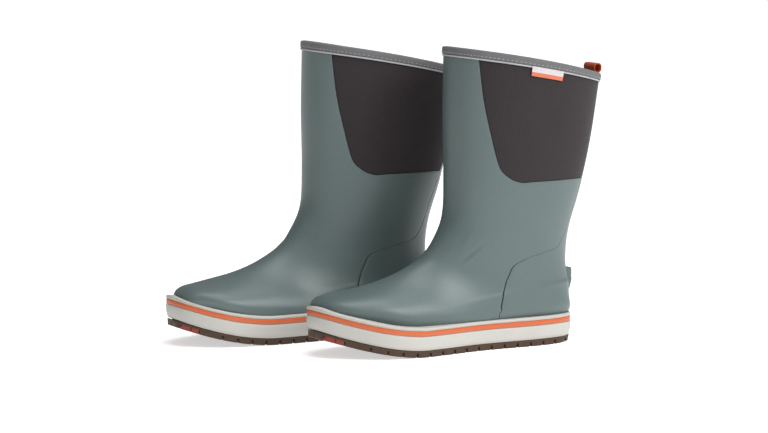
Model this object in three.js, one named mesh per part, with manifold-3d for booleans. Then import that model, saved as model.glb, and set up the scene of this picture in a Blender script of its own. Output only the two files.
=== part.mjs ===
// A pair of rubber deck boots, standing side by side with the right one a little ahead.
// Each boot is drawn once as a left boot in its own frame: the heel's back at y = 0, the toe
// towards -Y, the outer side towards +X and the floor at z = 0. The right boot is its mirror.
import * as THREE from "three";
import { mergeVertices } from "three/addons/utils/BufferGeometryUtils.js";
import Module from "manifold-3d";

const wasm = await Module();
wasm.setup();

// ---- Driving dimensions, in millimetres and degrees ----
const bootLength = 300; // heel to toe along the sole
const shaftHeight = 313; // floor to the front of the collar
const collarDrop = 34; // how much lower the collar is at the back
const collarCrown = 2.5; // how far the collar arches up at its sides
const collarWidth = 114;
const ankleWidth = 78;
const ballWidth = 108; // of the sole, at the ball of the foot
const heelWidth = 82; // of the sole, at the heel
const toeInset = 10; // the toe tip lies this far towards the inner side
const toeSpring = 21.5; // how far the toe curls up off the floor
const heelRound = 2.7; // how far the tread's back edge lifts
const clearance = 0.3; // between pieces that touch

const rubberWall = 2.2;
const goreStep = 0.5; // the stretch panels lie this much below the rubber
const reinforcement = 0.6;
const liningWall = 2.6;
const bindingWall = 1;
const bindingHeight = 7;
const weltHeight = 1.6;

const outsoleThickness = 7;
const treadDepth = 3;
const treadPitch = 16;
const treadGroove = 2.4;
const inlayThickness = 2.2;
const wallTop = 22; // of the foxing wall, above the floor
const stripeHeight = 5.4;
const beadHeight = 3.6;
const wallThickness = 6; // of the foxing, at its foot
const wallBulge = 0.8;
const boardMargin = 18; // the insole board ends this far inside the sole's edge
const footbedMargin = 16; // the footbed ends this far inside the sole's edge

const labelLength = 37;
const labelHeight = 8.5;
const labelWall = 1;
const loopWidth = 21;
const loopDepth = 9.2;
const loopHeight = 11.5;
const loopWall = 1.3;
const loopNeck = 2.8;
const loopTail = 26;
const stripHalfWidth = 23; // the back strip, where it passes between the stretch panels
const tabWidth = 28;
const tabStandOut = 9;

const pairSpacing = 136.9;
const pairStagger = 89;
const pairYaw = -4.7;

// ---- Places that follow from them ----
const shellInside = -rubberWall;
const stiffenerOutside = shellInside - clearance;
const stiffenerInside = stiffenerOutside - reinforcement;
const liningOutside = stiffenerInside - clearance;
const liningInside = liningOutside - liningWall;
const bindingInside = liningInside - clearance - bindingWall;
const bindingOutside = clearance + bindingWall;
const boardLevel = wallTop - 3; // underside of the foot, above the floor
const footbedTop = boardLevel + 12;
const stripeFoot = wallTop + clearance;
const stripeTop = stripeFoot + stripeHeight - clearance;
const beadFoot = stripeTop + clearance;
const beadTop = beadFoot + beadHeight - clearance;
const collarHalf = collarWidth / 2;
const ankleHalf = ankleWidth / 2;
const ballHalf = ballWidth / 2 - 5;
const heelHalf = heelWidth / 2 - 2;
const archHalf = (heelWidth + ballWidth) / 4 - 5.5; // of the sole, on the outer side of the arch
const flatLength = 0.65 * bootLength; // the sole is flat from the heel to here
const ankleLevel = 98; // above it the sections rise with the shaft

const mix = (a, b, share) => a + (b - a) * share;
const along = (share) => -share * bootLength;
const spring = (y) => toeSpring * Math.max(0, (-y - flatLength) / (bootLength - flatLength)) ** 1.8;
const up = (share) => mix(ankleLevel, shaftHeight, share);
const seat = (share, rise) => [along(share), boardLevel + rise + spring(along(share))];
const instep = (share, rise) => [along(share), rise + spring(along(share))];

// ---- The boot's outer skin: rings from the collar down and forward to the toe ----
// Each ring lies between a front point and a back point in the middle plane. The rings of the
// shaft are almost level, those of the ankle tilt forward and those of the foot stand upright.
const ring = (front, back, ...shape) => [...front, ...back, ...shape];
const waist = (share) => mix(ankleHalf, collarHalf, share);
const lean = (share) => mix(heelHalf, ballHalf, share);
// Each row: front point, back point, then the centre line's offset, the outer and inner half
// width, how square the front and back halves are, and where along the ring it is widest.
const rings = [
  ring([along(0.468), up(1)], [along(-0.115), up(1) - collarDrop], 0, collarHalf, collarHalf, 2.2, 2.2, 0.5),
  ring([along(0.474), up(0.667)], [along(-0.081), up(0.667) - 26.5], 0, waist(0.78), waist(0.78),
    2.2, 2.2, 0.5),
  ring([along(0.473), up(0.385)], [along(-0.04), up(0.385) - 20], 0, waist(0.5), waist(0.5), 2.2, 2.2, 0.5),
  ring([along(0.483), up(0.188)], [along(0.003), up(0.188) - 20], 0, waist(0.2), waist(0.17), 2.2, 2.2, 0.48),
  ring([along(0.526), up(0.066)], [along(0.014), 85], 0, ankleHalf, ankleHalf - 1, 2.2, 2.3, 0.45),
  ring([along(0.573), 97], [along(0.005), boardLevel + 33], -1, heelHalf - 1, heelHalf - 2, 2.2, 2.7, 0.4),
  ring([along(0.627), 87], [along(0.03), boardLevel + 5], -2, lean(0.15), lean(-0.1), 2.2, 3.1, 0.35),
  ring(instep(0.687, 78.3), seat(0.267, 1), -4, lean(0.5), lean(-0.1), 2.2, 3.2, 0.32),
  ring(instep(0.753, 69.6), seat(0.5, 0), -5, ballHalf, lean(0.65), 2.2, 3.4, 0.3),
  ring(instep(0.82, 61.5), seat(0.683, 1.8), -6, ballHalf, ballHalf - 1, 2.3, 3.4, 0.32),
  ring(instep(0.887, 53.2), seat(0.81, 3), 1 - toeInset, ballHalf * 0.87, ballHalf * 0.89, 2.4, 3.2, 0.38),
  ring(instep(0.94, 45.8), seat(0.893, 2.7), -1 - toeInset, ballHalf * 0.7, ballHalf * 0.67, 2.4, 3, 0.42),
  ring(instep(0.97, 37.4), seat(0.943, 4.2), -2 - toeInset, ballHalf * 0.46, ballHalf * 0.43, 2.3, 2.5, 0.45),
  ring(seat(0.983, 9.3), seat(0.983, 9.3), -2 - toeInset, 0, 0, 2, 2, 0.5),
];
const lastRing = rings.length - 1;

// Rings in between follow a smooth curve through the ones listed.
function ringAt(t) {
  const i = Math.min(Math.max(Math.floor(t), 0), lastRing - 1);
  const f = t - i;
  const [b, c] = [rings[i], rings[i + 1]];
  const a = rings[i - 1] ?? b.map((v, k) => 2 * v - c[k]);
  const d = rings[i + 2] ?? c.map((v, k) => 2 * v - b[k]);
  return b.map((v, k) => 0.5 * (2 * v + (c[k] - a[k]) * f + (2 * a[k] - 5 * v + 4 * c[k] - d[k]) * f ** 2
    + (3 * (v - c[k]) + d[k] - a[k]) * f ** 3));
}

// A point on the skin: t counts rings down from the collar, turn is 0 at the front, a quarter
// turn at the outer side and half a turn at the back. Each half of a ring is a superellipse.
function skin(t, turn) {
  const [fy, fz, by, bz, centre, outer, inner, frontRound, backRound, middle] = ringAt(t);
  const [c, s] = [Math.cos(turn), Math.sin(turn)];
  const power = c >= 0 ? frontRound : backRound;
  const reach = (Math.abs(c) ** power + Math.abs(s) ** power) ** (-1 / power);
  const [my, mz] = [mix(by, fy, middle), mix(bz, fz, middle)];
  const [endY, endZ] = c >= 0 ? [fy, fz] : [by, bz];
  const share = reach * Math.abs(c);
  const x = centre + (s >= 0 ? outer : inner) * reach * s;
  const crown = collarCrown * Math.max(0, 1 - t) * (1 - share ** 2);
  return new THREE.Vector3(x, mix(my, endY, share), mix(mz, endZ, share) + crown);
}

// The same point moved straight out of the skin, or into it when the distance is negative.
function offSkin(t, turn, distance) {
  const step = 0.02;
  const down = skin(t + step, turn).sub(skin(t - step, turn));
  const round = skin(t, turn + step).sub(skin(t, turn - step));
  return skin(t, turn).addScaledVector(down.cross(round).normalize(), distance);
}

const toeTip = (distance) => skin(lastRing, 0).add(new THREE.Vector3(0, -distance, 0));

// ---- Making solids ----
function geometryFrom(points, faces) {
  const volume = faces.reduce((sum, [a, b, c]) =>
    sum + points[a].dot(points[b].clone().cross(points[c])), 0);
  const outward = volume > 0 ? faces : faces.map(([a, b, c]) => [a, c, b]);
  return new THREE.BufferGeometry().setFromPoints(points).setIndex(outward.flat());
}

// Skins a row of rings that all have the same number of points. The ends are closed flat,
// brought to a point each, or joined to each other.
function loft(loops, { tips = null, joined = false } = {}) {
  const count = loops[0].length;
  const points = loops.flat();
  const faces = [];
  const at = (i, j) => (i % loops.length) * count + (j % count);
  for (let i = 0; i < loops.length - (joined ? 0 : 1); i += 1)
    for (let j = 0; j < count; j += 1)
      faces.push([at(i, j), at(i, j + 1), at(i + 1, j + 1)], [at(i, j), at(i + 1, j + 1), at(i + 1, j)]);
  if (!joined) {
    const last = loops.length - 1;
    const ends = tips ?? [loops[0], loops[last]].map((loop) =>
      loop.reduce((sum, p) => sum.add(p), new THREE.Vector3()).divideScalar(count));
    points.push(...ends);
    for (let j = 0; j < count; j += 1) {
      faces.push([at(0, j + 1), at(0, j), points.length - 2]);
      faces.push([at(last, j), at(last, j + 1), points.length - 1]);
    }
  }
  return geometryFrom(points, faces);
}

function solid(geometry) {
  const bare = geometry.clone();
  bare.deleteAttribute("normal");
  bare.deleteAttribute("uv");
  const merged = mergeVertices(bare, 1e-4);
  return new wasm.Manifold(new wasm.Mesh({
    numProp: 3,
    vertProperties: merged.attributes.position.array,
    triVerts: new Uint32Array(merged.index.array),
  }));
}

const crumb = 0.02; // cuts leave no edge shorter than this
function geometryOf(shape) {
  const { vertProperties, triVerts } = shape.simplify(crumb).getMesh();
  return new THREE.BufferGeometry()
    .setAttribute("position", new THREE.BufferAttribute(vertProperties, 3))
    .setIndex(new THREE.BufferAttribute(triVerts, 1));
}

// ---- Layers of the upper ----
const around = 18;
const turns = Array.from({ length: around }, (_, j) => (j * 2 * Math.PI) / around);
const collarGap = 0.025; // the layers stop this far below the top of the binding, in rings
const rows = [1, 2, 2.8, 3.5, 4.1, 4.7, 5.3, 5.9, 6.5, 7.2, 8.2, 9.4, 10.6, 11.5, 12.2, 12.7];

const tightToe = 12.5; // deep inside the toe the last ring would turn inside out
const skinRows = (distance, top) => [top, ...rows.filter((t) => distance > liningOutside - 1 || t < tightToe)]
  .map((t) => turns.map((turn) => offSkin(t, turn, distance)));
function filled(distance, top = collarGap) {
  const lid = offSkin(top, 0, distance).lerp(offSkin(top, Math.PI, distance), 0.5);
  return solid(loft(skinRows(distance, top), { tips: [lid, toeTip(distance)] }));
}
const overCollar = -0.2;
const layer = (outside, inside) => filled(outside).subtract(filled(inside, overCollar));

// A flat outline pushed right through the boot, seen from the side (y, z) or the front (x, z).
const X = new THREE.Vector3(1, 0, 0);
const Y = new THREE.Vector3(0, 1, 0);
const Z = new THREE.Vector3(0, 0, 1);
function through(outline, view, from, to) {
  const depth = to - from;
  const geometry = new THREE.ExtrudeGeometry(outline, { depth, bevelEnabled: false, curveSegments: 6 });
  const axes = { side: [Y, Z, X], front: [X, Z, Y.clone().negate()], plan: [X, Y, Z] }[view];
  return solid(geometry.translate(0, 0, from).applyMatrix4(new THREE.Matrix4().makeBasis(...axes)));
}
const outlineOf = (points) => new THREE.Shape(points.map(([a, b]) => new THREE.Vector2(a, b)));
const farOut = 90;
const overTop = shaftHeight + 30;

// The stretch panel's outline from the side: down its front edge, round the low front corner,
// level along the bottom and up beside the back strip.
function goreOutline(grow) {
  const foot = up(0.35) - grow;
  const shape = new THREE.Shape();
  shape.moveTo(along(0.423) - grow, overTop);
  shape.splineThru([
    new THREE.Vector2(along(0.412) - grow, up(0.79)),
    new THREE.Vector2(along(0.387) - grow, up(0.59)),
    new THREE.Vector2(along(0.364) - grow, up(0.48)),
    new THREE.Vector2(along(0.348) - grow, up(0.415)),
    new THREE.Vector2(along(0.318), foot + 4),
    new THREE.Vector2(along(0.283), foot),
  ]);
  shape.lineTo(60, foot);
  shape.lineTo(60, overTop);
  return shape;
}

// The back piece: a heel counter, seen from the side, and a strip that climbs to the collar.
function counterOutline(grow) {
  const shape = new THREE.Shape();
  shape.moveTo(along(0.347) - grow, 0);
  shape.lineTo(along(0.347) - grow, 30);
  shape.splineThru([
    new THREE.Vector2(along(0.331) - grow, 55),
    new THREE.Vector2(along(0.308) - grow, 73.5),
    new THREE.Vector2(along(0.285) - grow, 86 + grow),
    new THREE.Vector2(along(0.235), 92.3 + grow),
    new THREE.Vector2(along(0.127), 99.2 + grow),
    new THREE.Vector2(along(0.08), 108.5 + grow),
    new THREE.Vector2(along(0.04), 125 + grow),
  ]);
  shape.lineTo(60, 125 + grow);
  shape.lineTo(60, 0);
  return shape;
}
const stripOutline = (grow) => outlineOf([
  [-30 - grow, 100], [30 + grow, 100], [30 + grow, up(0.25)], [stripHalfWidth + grow, up(0.37)],
  [stripHalfWidth + grow, overTop], [-stripHalfWidth - grow, overTop], [-stripHalfWidth - grow, up(0.37)],
  [-30 - grow, up(0.25)],
]);
const backCutter = (grow) => through(counterOutline(grow), "side", -farOut, farOut)
  .add(through(stripOutline(grow), "front", along(0.2), -along(0.15)));
const goreCutter = (grow) => through(goreOutline(grow), "side", -farOut, farOut);
const farAhead = along(1.3);
const block = (x0, x1, y0, y1, z0, z1) =>
  through(outlineOf([[x0, y0], [x1, y0], [x1, y1], [x0, y1]]), "plan", z0, z1);
const outerHalf = block(0, farOut, farAhead, farOut, 0, overTop);
const innerHalf = block(-farOut, 0, farAhead, farOut, 0, overTop);

// ---- The sole ----
// The edge of the sole on each side, from the middle of the heel to the toe tip.
const soleEdge = (points) => new THREE.SplineCurve(points.map(([x, y]) => new THREE.Vector2(x, y)));
const toeTipX = -toeInset;
const outerEdge = soleEdge([
  [0, 0], [heelWidth * 0.36, along(0.037)], [heelWidth / 2, along(0.167)], [archHalf, along(0.4)],
  [ballWidth / 2 - 3, along(0.583)], [ballWidth / 2 + 1, along(0.707)], [ballWidth / 2 - 8, along(0.84)],
  [toeTipX + 24, along(0.98)], [toeTipX, along(1)],
]).getPoints(240);
const innerEdge = soleEdge([
  [0, 0], [-heelWidth * 0.36, along(0.037)], [-heelWidth / 2, along(0.167)], [-3.5 - archHalf, along(0.4)],
  [1 - ballWidth / 2, along(0.617)], [-0.7 - ballWidth / 2, along(0.733)],
  [1.5 - ballWidth / 2, along(0.85)], [toeTipX - 23.5, along(0.968)], [toeTipX, along(1)],
]).getPoints(240);
function edgeX(edge, y) {
  const next = edge.findIndex((point) => point.y <= y);
  const [a, b] = [edge[Math.max(next - 1, 0)], edge[Math.max(next, 1)]];
  return mix(a.x, b.x, (y - a.y) / (b.y - a.y));
}

// A slice of the sole at one place along it: a list of [height, stand out] up each side. With an
// inset the whole outline is that much smaller at the ball, and in proportion elsewhere.
function soleSection(share, profile, inset) {
  const y = mix(-inset, inset - bootLength, share);
  const [outerX, innerX] = [edgeX(outerEdge, along(share)), edgeX(innerEdge, along(share))];
  const centre = (outerX + innerX) / 2;
  const half = ((outerX - innerX) / 2) * (1 - (2 * inset) / ballWidth);
  const rise = (side) => profile.map(([z, out]) =>
    new THREE.Vector3(centre + side * (half + out), y, z + spring(y)));
  return [...rise(1), ...rise(-1).reverse()];
}
const soleShares = [0.006, 0.018, 0.04, 0.08, 0.15, 0.25, 0.37, 0.48, 0.58, 0.67, 0.75, 0.82, 0.88, 0.925,
  0.958, 0.98, 0.993];
const soleSlab = (profile, inset) =>
  solid(loft(soleShares.map((share) => soleSection(share, profile, inset))));

const footHollow = filled(clearance);
const soleBand = (profile) => soleSlab(profile, 0).subtract(footHollow);

// Cross-cut tread: the underside steps up into a groove between one block and the next, and
// into a shallow pocket for the inlay under the toe.
const pocketStart = 0.93;
const pocketEnd = 0.982;
const draft = 0.6 / bootLength;
const cuts = [[pocketStart, pocketEnd, inlayThickness + clearance]];
for (let start = treadPitch / bootLength; start < pocketStart - 0.03; start += treadPitch / bootLength)
  cuts.push([start, start + treadGroove / bootLength, treadDepth]);
const cutDepth = (share) => cuts.reduce((deepest, [start, end, depth]) =>
  Math.max(deepest, depth * Math.min((share - start) / draft, (end - share) / draft, 1)), 0);
const heelLift = (share) => heelRound * Math.max(0, 1 - share / 0.13) ** 2;
function outsole() {
  const shares = [...soleShares, ...cuts.flatMap(([start, end]) => [start, start + draft, end - draft, end])];
  const sections = shares.sort((a, b) => a - b).map((share) =>
    soleSection(share, [[cutDepth(share) + heelLift(share), -3], [outsoleThickness, -1.5]], 0));
  return solid(loft(sections));
}
function toeInlay() {
  const margin = draft + clearance / bootLength;
  const shares = [0, 0.25, 0.5, 0.75, 1].map((part) => mix(pocketStart + margin, pocketEnd - margin, part));
  return solid(loft(shares.map((share) => soleSection(share, [[0, -3], [inlayThickness, -3]], 0))));
}

const boardPrism = (grow) =>
  soleSlab([[boardLevel - 8 - grow, 0], [boardLevel + 7 + grow, 0]], boardMargin - grow);
const wallProfile = [[outsoleThickness + clearance, -1.4], [outsoleThickness + 4, 0],
  [outsoleThickness + 9, wallBulge], [wallTop, wallBulge / 2]];
const stripeProfile = [[stripeFoot, wallBulge / 2], [stripeTop, 0.2]];
const beadProfile = [[beadFoot, 0.3], [beadFoot + 2, 0.5], [beadTop, -0.6]];
const midsoleProfile = [[outsoleThickness + clearance, 0], [wallTop - 1, 0]];
const wallHollow = soleSlab([[0, 0], [wallTop + 20, 0]], wallThickness);

// ---- Trim ----
// A band round the collar. Its cross-section is a list of [how far down, how far out].
const perRing = 67; // millimetres between the collar's first two rings
const band = (section) => loft(turns.map((turn) =>
  section.map(([down, out]) => offSkin(down / perRing, turn, out))), { joined: true });
const layersTop = collarGap * perRing - clearance;
const binding = () => band([
  [bindingHeight, clearance], [bindingHeight, bindingOutside], [0.8, bindingOutside], [0, bindingOutside - 1],
  [0, bindingInside + 1], [0.8, bindingInside], [bindingHeight, bindingInside],
  [bindingHeight, liningInside - clearance], [layersTop, liningInside - clearance], [layersTop, clearance],
]);
const weltTop = bindingHeight + clearance;
const welt = () => band([
  [weltTop, clearance], [weltTop, bindingOutside - 0.1], [weltTop + weltHeight, bindingOutside - 0.3],
  [weltTop + weltHeight, clearance],
]);

// The label hangs from under the welt on the outer side, a little behind the middle.
function collarLabel() {
  const top = weltTop + weltHeight + clearance;
  const middle = THREE.MathUtils.degToRad(88);
  const half = labelLength / (skin(0.2, Math.PI).y - skin(0.2, 0).y);
  const sides = [-1, -0.33, 0.33, 1].map((side) => middle + side * half);
  const section = [[top, 0], [top, labelWall], [top + labelHeight, labelWall], [top + labelHeight, 0]];
  const out = clearance - goreStep;
  return loft(sides.map((turn) => section.map(([down, wall]) => offSkin(down / perRing, turn, out + wall))));
}

// The pull loop: webbing folded over a finger gap, its two ends sewn together in a short neck.
const loopAnchor = offSkin(0, Math.PI, 0);
const loopFoot = 0.9; // the neck stands this far off the binding, so that the loop can tilt
function pullLoop() {
  const half = loopDepth / 2;
  const shoulder = 4;
  const arc = new THREE.Shape();
  arc.moveTo(-loopNeck / 2, loopFoot);
  arc.lineTo(loopNeck / 2, loopFoot);
  arc.quadraticCurveTo(half, loopFoot + 1, half, shoulder);
  arc.lineTo(half, loopHeight - 2.5);
  arc.quadraticCurveTo(half, loopHeight, half - 2.5, loopHeight);
  arc.lineTo(2.5 - half, loopHeight);
  arc.quadraticCurveTo(-half, loopHeight, -half, loopHeight - 2.5);
  arc.lineTo(-half, shoulder);
  arc.quadraticCurveTo(-half, loopFoot + 1, -loopNeck / 2, loopFoot);
  const inner = half - loopWall;
  arc.holes.push(new THREE.Path([
    [0, loopFoot + 2], [-inner, shoulder + 0.8], [-inner, loopHeight - 2.6],
    [1.6 - inner, loopHeight - loopWall], [inner - 1.6, loopHeight - loopWall],
    [inner, loopHeight - 2.6], [inner, shoulder + 0.8],
  ].map(([y, z]) => new THREE.Vector2(y, z))));
  const shape = through(arc, "side", -loopWidth / 2, loopWidth / 2);
  return geometryOf(shape).translate(...loopAnchor);
}
const tailPrism = () =>
  block(-loopWidth / 2, loopWidth / 2, 0, farOut, up(1) - collarDrop - loopTail, overTop);

// The kick tab: a ledge on the heel for pushing the boot off with the other foot.
function kickTab() {
  const back = skin(4.2, Math.PI).y;
  const side = outlineOf([
    [back - 14, 80], [back - 4, 79], [back + tabStandOut, 76], [back + tabStandOut + 0.4, 68],
    [back + tabStandOut - 2, 56], [back + 2, 46], [back - 14, 42],
  ]);
  const half = tabWidth / 2;
  const plan = new THREE.Shape();
  plan.moveTo(-half, back - 20);
  plan.lineTo(half, back - 20);
  plan.lineTo(half, back + 1);
  plan.quadraticCurveTo(half, back + tabStandOut - 1, half - 5, back + tabStandOut);
  plan.quadraticCurveTo(0, back + tabStandOut + 2, 5 - half, back + tabStandOut);
  plan.quadraticCurveTo(-half, back + tabStandOut - 1, -half, back + 1);
  const ledge = through(side, "side", -half - 5, half + 5);
  return ledge.intersect(through(plan, "plan", 30, 100)).subtract(footHollow);
}

// ---- Colours ----
const finish = (color, roughness) => ({ color, roughness, metalness: 0 });
const finishes = {
  rubber: finish(0x6d7f7e, 0.5),
  gore: finish(0x453f41, 0.85),
  binding: finish(0x85898a, 0.8),
  welt: finish(0xb4b4b7, 0.7),
  label: finish(0xd2b8b3, 0.7),
  webbing: finish(0xc05a2c, 0.75),
  lining: finish(0x77797a, 0.9),
  board: finish(0xb09a7c, 0.9),
  reinforcement: finish(0x8c8674, 0.85),
  foam: finish(0x3c3d3f, 0.9),
  footbed: finish(0x4a4d4f, 0.9),
  foxing: finish(0xd4d3cb, 0.55),
  stripe: finish(0xdb6a38, 0.5),
  outsole: finish(0x4a3829, 0.65),
  inlay: finish(0xb5442a, 0.6),
};

// ---- One boot ----
function bootSolids() {
  const rubber = layer(0, shellInside).subtract(boardPrism(clearance));
  const gore = layer(-goreStep, shellInside).intersect(goreCutter(0)).subtract(backCutter(clearance));
  const stiffening = layer(stiffenerOutside, stiffenerInside);
  const toeCap = block(-farOut, farOut, farAhead, along(0.83), boardLevel + 11, overTop);
  const heelCup = block(-farOut, farOut, along(0.25), farOut, boardLevel + 13, 78);
  const footSpace = filled(liningInside - clearance);
  const footbedProfile = [[boardLevel - 5, 0], [footbedTop, 0]];
  return {
    upper_front: ["rubber", rubber.subtract(backCutter(clearance)).subtract(goreCutter(clearance))],
    upper_back: ["rubber", rubber.intersect(backCutter(0))],
    gore_outer: ["gore", gore.intersect(outerHalf)],
    gore_inner: ["gore", gore.intersect(innerHalf)],
    toe_puff: ["reinforcement", stiffening.intersect(toeCap)],
    heel_stiffener: ["reinforcement", stiffening.intersect(heelCup)],
    loop_tail: ["webbing", stiffening.intersect(tailPrism())],
    insole_board: ["board", layer(0, shellInside).intersect(boardPrism(0))],
    lining: ["lining", layer(liningOutside, liningInside)],
    footbed: ["footbed", footSpace.intersect(soleSlab(footbedProfile, footbedMargin))],
    midsole: ["foam", soleSlab(midsoleProfile, wallThickness + clearance).subtract(footHollow)],
    foxing_wall: ["foxing", soleSlab(wallProfile, 0).subtract(wallHollow).subtract(footHollow)],
    foxing_stripe: ["stripe", soleBand(stripeProfile)],
    foxing_bead: ["foxing", soleBand(beadProfile)],
    outsole: ["outsole", outsole()],
    toe_inlay: ["inlay", toeInlay()],
    kick_tab: ["rubber", kickTab()],
  };
}
function boot(side, solids) {
  const group = new THREE.Group();
  const add = (name, slot, geometry) => {
    geometry.computeVertexNormals();
    const material = new THREE.MeshStandardMaterial({ ...finishes[slot], flatShading: true });
    const mesh = new THREE.Mesh(geometry, material);
    mesh.name = `${side}_${name}`;
    group.add(mesh);
  };
  for (const [name, [slot, shape]] of Object.entries(solids)) add(name, slot, geometryOf(shape));
  add("collar_binding", "binding", binding());
  add("collar_welt", "welt", welt());
  add("collar_label", "label", collarLabel());
  add("pull_loop", "webbing", pullLoop());
  return group;
}

// ---- The pair ----
const solids = bootSolids();
const leftBoot = boot("left", solids);
const rightBoot = boot("right", solids);
rightBoot.scale.x = -1;
rightBoot.rotation.z = THREE.MathUtils.degToRad(pairYaw);
rightBoot.position.set(-pairSpacing, -pairStagger, 0);

const pair = new THREE.Group();
pair.add(leftBoot, rightBoot);
const box = new THREE.Box3().setFromObject(pair, true);
const middle = box.getCenter(new THREE.Vector3());
pair.position.set(-middle.x, -middle.y, -box.min.z);

export default pair;
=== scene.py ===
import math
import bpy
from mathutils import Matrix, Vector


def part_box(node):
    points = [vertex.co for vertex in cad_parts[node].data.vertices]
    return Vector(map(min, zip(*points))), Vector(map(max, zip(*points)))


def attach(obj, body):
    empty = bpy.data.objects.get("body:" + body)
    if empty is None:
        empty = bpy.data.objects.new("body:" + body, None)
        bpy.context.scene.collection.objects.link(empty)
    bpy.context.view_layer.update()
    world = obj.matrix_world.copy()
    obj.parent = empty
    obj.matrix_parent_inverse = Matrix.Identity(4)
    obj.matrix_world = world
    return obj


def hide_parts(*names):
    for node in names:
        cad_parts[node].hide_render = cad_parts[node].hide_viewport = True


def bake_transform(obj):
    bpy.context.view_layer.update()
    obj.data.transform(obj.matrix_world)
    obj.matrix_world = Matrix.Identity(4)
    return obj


bl_info = {
    "name": "Deck boots",
    "version": (1, 0, 0),
    "blender": (4, 5, 0),
    "location": "3D View > Sidebar > Boots",
    "description": "A pair of rubber deck boots, built over a fixed frame",
    "category": "Object",
}

import bmesh
import bpy
import numpy as np
from bpy.props import FloatProperty, FloatVectorProperty, PointerProperty
from mathutils import Matrix, Vector
from mathutils.bvhtree import BVHTree

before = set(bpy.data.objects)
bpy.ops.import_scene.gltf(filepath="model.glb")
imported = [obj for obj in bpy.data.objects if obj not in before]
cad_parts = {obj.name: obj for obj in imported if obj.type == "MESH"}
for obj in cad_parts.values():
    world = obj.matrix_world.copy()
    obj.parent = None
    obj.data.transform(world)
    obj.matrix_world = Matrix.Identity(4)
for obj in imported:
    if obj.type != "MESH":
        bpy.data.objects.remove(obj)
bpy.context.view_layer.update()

# Lengths in this file are millimetres in the left boot's own frame, heel's back at y = 0, toe
# towards -y and floor at z = 0, until BootPlace puts a piece in the row frame in metres.
LENGTH = 300.0
HEIGHT = 313.0
CROWN = 2.5  # how far the collar arches up at its sides
RIGHT_SHIFT = (-136.9, -89.0)
RIGHT_YAW = math.radians(-4.7)
SIDES = ("left", "right")

# ---- The boot's skin, ring by ring, as the frame has it ----
SHARE_OF_SHAFT = lambda share: 98 + (HEIGHT - 98) * share
BALL_HALF = 49.0
HEEL_HALF = 39.0
WAIST = lambda share: 39 + (57 - 39) * share
LEAN = lambda share: HEEL_HALF + (BALL_HALF - HEEL_HALF) * share


def toe_spring(y):
    return 21.5 * np.maximum(0, (-np.asarray(y) - 195) / 105) ** 1.8


def low(share, rise):
    y = -share * LENGTH
    return (y, rise + float(toe_spring(y)))


def high(share, level, drop=0.0):
    return (-share * LENGTH, SHARE_OF_SHAFT(level) - drop)


# front point, back point, centre line, half widths outside and inside, squareness in front and
# behind, and where along the ring it is widest
RINGS = np.array([
    (*high(0.468, 1), *high(-0.115, 1, 34), 0, 57, 57, 2.2, 2.2, 0.5),
    (*high(0.474, 0.667), *high(-0.081, 0.667, 26.5), 0, WAIST(0.78), WAIST(0.78), 2.2, 2.2, 0.5),
    (*high(0.473, 0.385), *high(-0.04, 0.385, 20), 0, WAIST(0.5), WAIST(0.5), 2.2, 2.2, 0.5),
    (*high(0.483, 0.188), *high(0.003, 0.188, 20), 0, WAIST(0.2), WAIST(0.17), 2.2, 2.2, 0.48),
    (*high(0.526, 0.066), -4.2, 85, 0, 39, 38, 2.2, 2.3, 0.45),
    (-171.9, 97, -1.5, 52, -1, 38, 37, 2.2, 2.7, 0.4),
    (-188.1, 87, -9, 24, -2, LEAN(0.15), LEAN(-0.1), 2.2, 3.1, 0.35),
    (*low(0.687, 78.3), *low(0.267, 20), -4, LEAN(0.5), LEAN(-0.1), 2.2, 3.2, 0.32),
    (*low(0.753, 69.6), *low(0.5, 19), -5, BALL_HALF, LEAN(0.65), 2.2, 3.4, 0.3),
    (*low(0.82, 61.5), *low(0.683, 20.8), -6, BALL_HALF, BALL_HALF - 1, 2.3, 3.4, 0.32),
    (*low(0.887, 53.2), *low(0.81, 22), -9, BALL_HALF * 0.87, BALL_HALF * 0.89, 2.4, 3.2, 0.38),
    (*low(0.94, 45.8), *low(0.893, 21.7), -11, BALL_HALF * 0.7, BALL_HALF * 0.67, 2.4, 3, 0.42),
    (*low(0.97, 37.4), *low(0.943, 23.2), -12, BALL_HALF * 0.46, BALL_HALF * 0.43, 2.3, 2.5, 0.45),
    (*low(0.983, 28.3), *low(0.983, 28.3), -12, 0, 0, 2, 2, 0.5),
])
TOE = len(RINGS) - 1
PADDED_RINGS = np.vstack([2 * RINGS[0] - RINGS[1], RINGS, 2 * RINGS[-1] - RINGS[-2]])


def between(a, b, c, d, f):
    """The smooth curve from b to c, with a and d as the points beyond them."""
    return 0.5 * (2 * b + (c - a) * f + (2 * a - 5 * b + 4 * c - d) * f**2 + (3 * (b - c) + d - a) * f**3)


def skin(down, turn):
    """Points on the skin. down counts rings from the collar, turn is degrees round from the front."""
    down, turn = np.broadcast_arrays(np.asarray(down, float), np.radians(turn))
    i = np.clip(np.floor(down), 0, TOE - 1).astype(int)
    row = between(*(PADDED_RINGS[i + k] for k in range(4)), (down - i)[..., None])
    fy, fz, by, bz, centre, outer, inner, front, back, middle = np.moveaxis(row, -1, 0)
    c, s = np.cos(turn), np.sin(turn)
    power = np.where(c >= 0, front, back)
    reach = (np.abs(c) ** power + np.abs(s) ** power) ** (-1 / power)
    share = reach * np.abs(c)
    my, mz = by + (fy - by) * middle, bz + (fz - bz) * middle
    x = centre + np.where(s >= 0, outer, inner) * reach * s
    y = my + (np.where(c >= 0, fy, by) - my) * share
    z = mz + (np.where(c >= 0, fz, bz) - mz) * share + CROWN * np.maximum(0, 1 - down) * (1 - share**2)
    return np.stack([x, y, z], -1)


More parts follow.
